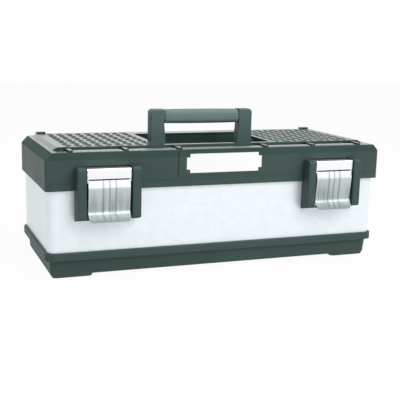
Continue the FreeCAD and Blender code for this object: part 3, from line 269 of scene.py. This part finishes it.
def lozenge(length, width, height, root):
    """A pointed bar: rings of eight points whose width follows one minus the square of the way
    along, and whose height follows its root, with a flat sunk underside; poles close both ends."""
    stations, around, last_station = 5, 8, 0.84
    along = np.linspace(-last_station, last_station, stations)
    turn = np.arange(around) * 2 * np.pi / around
    taper = 1 - along ** 2
    x = np.repeat(along[:, None] * length / 2, around, axis=1)
    y = np.outer(taper, np.cos(turn)) * width / 2
    z = np.where(np.sin(turn) > 0.01, np.outer(np.sqrt(taper), np.sin(turn)) * height,
                 np.minimum(np.sin(turn), 0)[None, :] * root)
    rings = np.stack((x, y, z), axis=2).reshape(-1, 3)
    poles = np.array(((-length / 2, 0, -root / 2), (length / 2, 0, -root / 2)))
    corner = np.arange(len(rings) - around).reshape(-1, around)
    after = np.roll(corner, -1, axis=1)
    quads = np.stack((corner, after, after + around, corner + around), axis=2).reshape(-1, 4)
    start_pole, end_pole = np.full(around, len(rings)), np.full(around, len(rings) + 1)
    start = np.stack((start_pole, after[0], corner[0]), axis=1)
    end = np.stack((end_pole, corner[-1] + around, after[-1] + around), axis=1)
    return np.concatenate((rings, poles)), (quads, np.concatenate((start, end)))


def repeated(points, faces, places, turns):
    """One shape copied to every place and turned about its upright axis: x and y of each point go round
    by the copy's turn and then move to its place, and the copies make one list of points and faces."""
    cos, sin = np.cos(turns)[:, None], np.sin(turns)[:, None]
    x = points[None, :, 0] * cos - points[None, :, 1] * sin + places[:, 0:1]
    y = points[None, :, 0] * sin + points[None, :, 1] * cos + places[:, 1:2]
    z = points[None, :, 2] + places[:, 2:3]
    every = np.stack((x, y, z), axis=2).reshape(-1, 3)
    steps = np.arange(len(places))[:, None, None] * len(points)
    copies = [(alike[None, :, :] + steps).reshape(-1, alike.shape[1]).tolist() for alike in faces]
    return every, sum(copies, [])


def piece(name, points, faces, material, body):
    """A new mesh object at the origin, shaded smooth but for faces of many corners, riding on a body."""
    mesh = bpy.data.meshes.new(name)
    mesh.from_pydata(points.tolist(), [], faces)
    mesh.polygons.foreach_set("use_smooth", [len(face) <= 4 for face in faces])
    mesh.validate()
    mesh.materials.append(material)
    made = bpy.data.objects.new(name, mesh)
    scene.collection.objects.link(made)
    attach(made, body)
    return made


pitch_x, pitch_y = 0.0187, 0.0160
tread_x, tread_front, tread_rear = 0.303, -0.088, 0.110
well_x, well_y = 0.1225, 0.0905
end_clear, rear_clear, well_clear_x, well_clear_y = 0.011, 0.010, 0.008, 0.006
lean_angle = 0.62
column, row = np.meshgrid(np.arange(-15, 16), np.arange(-5, 7))
across, along = column * pitch_x, row * pitch_y
lean = np.where((column + row) % 2 == 0, lean_angle, -lean_angle)
clear = (np.abs(across) < tread_x - end_clear) & (along > tread_front) & (along < tread_rear - rear_clear)
clear &= (np.abs(across) > well_x + well_clear_x) | (np.abs(along) > well_y + well_clear_y)
seats = np.stack((across[clear], along[clear] + lid_middle, np.full(clear.sum(), tread_level)), axis=1)
bar_points, bar_faces = lozenge(length=0.0172, width=0.0060, height=0.0012, root=0.0004)
tread_points, tread_faces = repeated(bar_points, bar_faces, seats, lean[clear])
piece("tread_lozenges", tread_points, tread_faces, lid_plastic, "lid")


# Ledge strips: low crowned strips moulded on the lid's front ledge between its webs.
# Hands and sleeves slide over them, so they are rubbed to a shine, given by a clear coat; their body tone,
# lighter than the lid's though they are the same moulding, is a painted sheen.
def crowned_strip(start, end, front, rear, level, crown, root):
    """A low strip along X: its height follows one minus the square of the way across, times the root of
    one minus the square of the way into each rounded end; a flat underside is sunk by the root depth."""
    end_run = 0.006
    ends = np.array((0.0, 0.0003, 0.0010, 0.0022, 0.0040, end_run))
    run = np.concatenate((start + ends, end - ends[::-1]))
    way_in = np.clip(1 - np.minimum(run - start, end - run) / end_run, 0, 1)
    way_across = np.linspace(-1, 1, 9)
    around = 2 * len(way_across)
    crest = np.outer(np.sqrt(1 - way_in ** 2), crown * (1 - way_across ** 2)) + level
    y = (front + rear) / 2 + way_across * (rear - front) / 2
    ring_y = np.concatenate((y, y[::-1]))
    x = np.repeat(run[:, None], around, axis=1)
    z = np.concatenate((crest, np.full_like(crest, level - root)), axis=1)
    points = np.stack((x, np.repeat(ring_y[None, :], len(run), axis=0), z), axis=2).reshape(-1, 3)
    corner = np.arange((len(run) - 1) * around).reshape(-1, around)
    after = np.roll(corner, -1, axis=1)
    sides = np.stack((corner, corner + around, after + around, after), axis=2).reshape(-1, 4)
    caps = np.stack((corner[0], corner[-1][::-1] + around))
    return points, sides, caps


# A lighter copy of the lid's plastic: the lighter tone is a painted sheen, and the coat is the real gloss.
ledge_polish_and_painted_sheen = moulded_plastic("ledge_polish_and_painted_sheen", (0.052, 0.080, 0.074), (0.068, 0.098, 0.091),
                               (0.17, 0.20, 0.19), gloss=0.30, grain_depth=0.00001)
polish = ledge_polish_and_painted_sheen.node_tree.nodes["Principled BSDF"]
polish.inputs["Coat Weight"].default_value = 1.0
polish.inputs["Coat Roughness"].default_value = 0.30
polish.inputs["Coat IOR"].default_value = 1.75
web_places = np.array((-0.286, -0.186, -0.086, 0.086, 0.186, 0.286))
web_clear = 0.0055
strip_front, strip_rear = lid_middle - 0.1255, lid_middle - 0.1015
strip_crown, strip_root = 0.0017, 0.0004
strip_points, strip_faces, strip_count = [], [], 0
for start, end in zip(web_places[:-1] + web_clear, web_places[1:] - web_clear):
    points, sides, caps = crowned_strip(start, end, strip_front, strip_rear, ledge_level,
                                        strip_crown, strip_root)
    strip_points.append(points)
    strip_faces += (sides + strip_count).tolist() + (caps + strip_count).tolist()
    strip_count += len(points)
piece("ledge_strips", np.concatenate(strip_points), strip_faces, ledge_polish_and_painted_sheen, "lid")

# Name plate: a white lacquered plate with notched corners, pressed into its frame.
# It carries no lettering; the lacquer has a faint orange-peel and faintly yellowed patches.
lacquer, tree, shader, place = plain_material("white_lacquer")
peel = cloud(tree, place, 420.0, 2.0)
yellowing = cloud(tree, place, 28.0, 4.0, 0.6)
fresh_white, yellowed_white = (0.92, 0.92, 0.92), (0.88, 0.88, 0.87)
yellow_share = remap(tree, yellowing, 0.40, 0.75, 0.0, 1.0)
tree.links.new(blend_colours(tree, yellow_share, fresh_white, yellowed_white), shader.inputs["Base Color"])
tree.links.new(remap(tree, yellowing, 0.3, 0.7, 0.22, 0.34), shader.inputs["Roughness"])
dent(tree, shader, peel, 0.00003, 0.2)
dress("name_plate", lacquer)

# Latches: moulded brackets riveted to the steel, pressed and plated levers and hook plates,
# and plain steel pins.  The draw lines of the pressing run down the levers, whose knees carry a painted
# highlight and whose lips a painted shade; their beads are darkened with painted shade, and their plating
# is streaked with painted reflections.
latch_middle, bead_pitch, bead_width = 0.2225, 0.0115, 0.0031
# The knee tone is a painted highlight on the levers' tops, and the lip tone is a painted shade on their
# lower ends.
knee_from, knee_full, knee_highlight_tone = 0.138, 0.176, (0.67, 0.72, 0.74)
lip_from, lip_full, lip_shade_tone = 0.124, 0.110, (0.13, 0.16, 0.16)
lever_steel = plated_steel("lever_plating", (0.48, 0.53, 0.54), (0.27, 0.31, 0.32), (1.0, 1.0, 0.02),
                           gloss=0.40, painted_bead_shade=(latch_middle, bead_pitch, bead_width),
                           wear_and_painted_light=(knee_from, knee_full, knee_highlight_tone, lip_from, lip_full, lip_shade_tone))
hook_steel = plated_steel("hook_plating", (0.93, 0.94, 0.95), (0.86, 0.88, 0.89), (1.0, 1.0, 0.04),
                          gloss=0.30)
for side in ("left", "right"):
    dress("latch_bracket_" + side, charcoal)
    dress("latch_lever_" + side, lever_steel)
    dress("hook_plate_" + side, hook_steel)
    dress("hook_pin_" + side, fastener_steel)
    dress("lever_pins_" + side, fastener_steel)
    dress("bracket_rivets_" + side, fastener_steel)

# Handle: a moulded bail in the charcoal plastic on two steel pins, with a soft sleeve
# in a paler, greener rubber drawn over its bar.
handle_plastic = moulded_plastic("handle_moulding", (0.064, 0.112, 0.106), (0.080, 0.132, 0.126),
                                 (0.17, 0.21, 0.20), gloss=0.52, grain_depth=0.00006)
dress("handle_frame", handle_plastic)
dress("handle_pin_left", fastener_steel)
dress("handle_pin_right", fastener_steel)
rubber = moulded_plastic("grip_rubber", (0.125, 0.185, 0.176), (0.155, 0.222, 0.212), (0.22, 0.27, 0.26),
                         gloss=0.58, grain_depth=0.00008)
grip_low, grip_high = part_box("handle_grip")


def sleeve(low, high, corner, crown):
    """A soft sleeve: a rounded-square ring carried along the bar, crowned in the middle by a shallow
    parabola and drawn in over the last millimetres of each end, then closed across both ends."""
    middle = (np.array(low) + np.array(high)) / 2
    half = (np.array(high) - np.array(low)) / 2
    end_run, end_draw, plain_from, around = 0.003, 0.0022, 0.010, 48
    ends = np.array((0.0, 0.0006, 0.0016, end_run))
    plain = np.linspace(-half[0] + plain_from, half[0] - plain_from, 21)
    run = np.concatenate((-half[0] + ends, plain, half[0] - ends[::-1]))
    edge = half[0] - np.abs(run)
    drawn_in = end_draw * np.clip(1 - edge / end_run, 0, 1) ** 2
    swell = crown * (1 - (run / half[0]) ** 2)
    turn = np.linspace(0, 2 * np.pi, around + 1)[:-1]
    core = half[1:] - corner
    ring_y = np.sign(np.cos(turn)) * core[0] * (np.abs(np.cos(turn)) > 1e-9) + corner * np.cos(turn)
    ring_z = np.sign(np.sin(turn)) * core[1] * (np.abs(np.sin(turn)) > 1e-9) + corner * np.sin(turn)
    shrink = (swell - crown - drawn_in)[:, None]
    x = np.repeat(run[:, None], around, axis=1) + middle[0]
    y = ring_y[None, :] * (1 + shrink / half[1]) + middle[1]
    z = ring_z[None, :] * (1 + shrink / half[2]) + middle[2]
    points = np.stack((x, y, z), axis=2).reshape(-1, 3)
    ring = np.arange((len(run) - 1) * around).reshape(-1, around)
    after = np.roll(ring, -1, axis=1)
    quads = np.stack((ring, after, after + around, ring + around), axis=2).reshape(-1, 4)
    caps = [ring[0][::-1].tolist(), (ring[-1] + around).tolist()]
    return points, quads.tolist() + caps


grip_points, grip_faces = sleeve(grip_low, grip_high, corner=0.0095, crown=0.0007)
grip = piece("grip_sleeve", grip_points, grip_faces, rubber, "handle")
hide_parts("handle_grip")

# Tray: a plain dark moulding that hangs by its flange on the rim's ledge.
# It is a plain grey-black without the outside's teal cast, and its grain is coarser.
tray_plastic = moulded_plastic("tray_moulding", (0.032, 0.040, 0.041), (0.042, 0.051, 0.052),
                               (0.12, 0.13, 0.13), gloss=0.55, grain_depth=0.00008)
dress("tote_tray", tray_plastic)

# Stage: a plain white floor that shows white to the camera and to polished metal and keeps the
# box's soft shadow, a white room, and large soft lamps at the front, the left, the top and the back.
floor_mesh = bpy.data.meshes.new("floor")
reach = 6.0
floor_mesh.from_pydata([(-reach, -reach, 0), (reach, -reach, 0), (reach, reach, 0), (-reach, reach, 0)], [],
                       [(0, 1, 2, 3)])
floor = bpy.data.objects.new("floor", floor_mesh)
scene.collection.objects.link(floor)


def seen_directly(tree):
    """One for camera, glossy and transmitted rays, nought for the diffuse ones."""
    path = tree.nodes.new("ShaderNodeLightPath")
    first = combine(tree, "MAXIMUM", path.outputs["Is Camera Ray"], path.outputs["Is Glossy Ray"])
    return combine(tree, "MAXIMUM", first, path.outputs["Is Transmission Ray"])


paper = bpy.data.materials.new("white_paper")
paper.use_nodes = True
tree = paper.node_tree
tree.nodes.clear()
output = tree.nodes.new("ShaderNodeOutputMaterial")
matt = tree.nodes.new("ShaderNodeBsdfDiffuse")
matt.inputs["Color"].default_value = (0.80, 0.80, 0.80, 1.0)
glow = tree.nodes.new("ShaderNodeEmission")
glow.inputs["Color"].default_value = (1.0, 1.0, 1.0, 1.0)
share = tree.nodes.new("ShaderNodeMixShader")
white_share = 0.955
tree.links.new(combine(tree, "MULTIPLY", seen_directly(tree), white_share), share.inputs["Fac"])
tree.links.new(matt.outputs["BSDF"], share.inputs[1])
tree.links.new(glow.outputs["Emission"], share.inputs[2])
tree.links.new(share.outputs["Shader"], output.inputs["Surface"])
floor_mesh.materials.append(paper)

world = bpy.data.worlds.new("studio")
scene.world = world
world.use_nodes = True
tree = world.node_tree
tree.nodes.clear()
output = tree.nodes.new("ShaderNodeOutputWorld")
sky = tree.nodes.new("ShaderNodeBackground")
sky.inputs["Color"].default_value = (1.0, 1.0, 1.0, 1.0)
room_light, shown_white = 0.42, 1.0
tree.links.new(remap(tree, seen_directly(tree), 0.0, 1.0, room_light, shown_white), sky.inputs["Strength"])
tree.links.new(sky.outputs["Background"], output.inputs["Surface"])


def lamp(name, place, aim, size, watts):
    """A square soft lamp at a place, turned to face a point."""
    light = bpy.data.lights.new(name, "AREA")
    light.shape = "SQUARE"
    light.size = size
    light.energy = watts
    made = bpy.data.objects.new(name, light)
    made.location = place
    made.rotation_euler = (Vector(aim) - Vector(place)).to_track_quat("-Z", "Y").to_euler()
    scene.collection.objects.link(made)


box_middle, lid_edge = (0.0, 0.0, 0.12), (0.0, 0.0, 0.20)
lamp("front_lamp", (0.9, -2.2, 1.9), box_middle, size=1.8, watts=53.0)
lamp("left_lamp", (-2.4, -0.5, 1.3), box_middle, size=1.5, watts=1.5)
lamp("top_lamp", (0.0, 0.4, 2.6), box_middle, size=1.6, watts=22.0)
lamp("back_lamp", (0.3, 3.2, 1.2), lid_edge, size=2.0, watts=3.2)

# Camera: to the left of the front and a little above the lid, rolled very slightly, as the
# photograph was taken.  Its right and upward directions follow from yaw, pitch and roll.
yaw, pitch, roll = 0.3714, 0.1959, 0.0247
forward = np.array((np.sin(yaw) * np.cos(pitch), np.cos(yaw) * np.cos(pitch), -np.sin(pitch)))
level = np.array((np.cos(yaw), -np.sin(yaw), 0.0))
upright = np.cross(level, forward)
camera_right = np.cos(roll) * level + np.sin(roll) * upright
camera_up = np.cos(roll) * upright - np.sin(roll) * level
view = bpy.data.cameras.new("photo_view")
view.sensor_width = 36.0
view.lens = 72.54
view.clip_end = 50.0
camera = bpy.data.objects.new("photo_view", view)
axes = Matrix(np.stack((camera_right, camera_up, -forward), axis=1).tolist()).to_4x4()
camera_place = (-0.57478, -1.48346 + lid_middle, 0.42039)
camera.matrix_world = Matrix.Translation(camera_place) @ axes
scene.collection.objects.link(camera)
scene.camera = camera
scene.view_settings.view_transform = "Standard"
